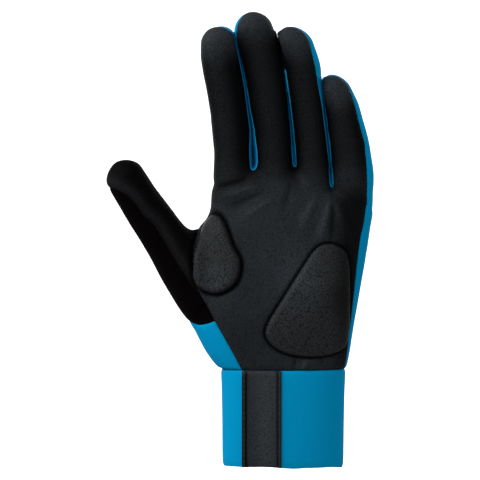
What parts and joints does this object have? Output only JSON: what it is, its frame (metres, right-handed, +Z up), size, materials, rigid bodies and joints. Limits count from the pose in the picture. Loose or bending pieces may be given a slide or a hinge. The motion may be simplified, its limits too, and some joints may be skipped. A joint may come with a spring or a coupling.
{
  "type": "cycling glove",
  "caption": "Left long-cuff full-finger cycling glove held in the form of a hand, with padded leather palm, suede thumb and cloth back and cuff.",
  "frame": {"origin": "centre of the cuff's open end, where the wrist goes in", "axes": "+Z up along the hand towards the fingertips, -Y towards the palm side, -X towards the thumb"},
  "size_m": [0.152, 0.0492, 0.2591],
  "materials": {
    "palm_leather": "fine grained black synthetic leather, satin",
    "pad_leather": "embossed fine grain black synthetic leather over foam, satin",
    "strip_leather": "smooth black synthetic leather with stitched edges, satin",
    "suede": "matt black brushed suede",
    "softshell": "bright blue stretch softshell cloth, matt",
    "fourchette_cloth": "blue stretch cloth, matt"
  },
  "bodies": {
    "root": {"palm_panel": "palm_leather", "back_panel": "softshell", "fourchette_index_middle": "fourchette_cloth", "fourchette_middle_ring": "fourchette_cloth", "fourchette_ring_little": "fourchette_cloth", "thumb_palm_panel": "palm_leather", "thumb_back_panel": "suede", "thenar_pad": "pad_leather", "heel_pad": "pad_leather", "cuff": "softshell", "cuff_strip": "strip_leather", "cuff_strip_border_left": "strip_leather", "cuff_strip_border_right": "strip_leather"}
  },
  "joints": []
}
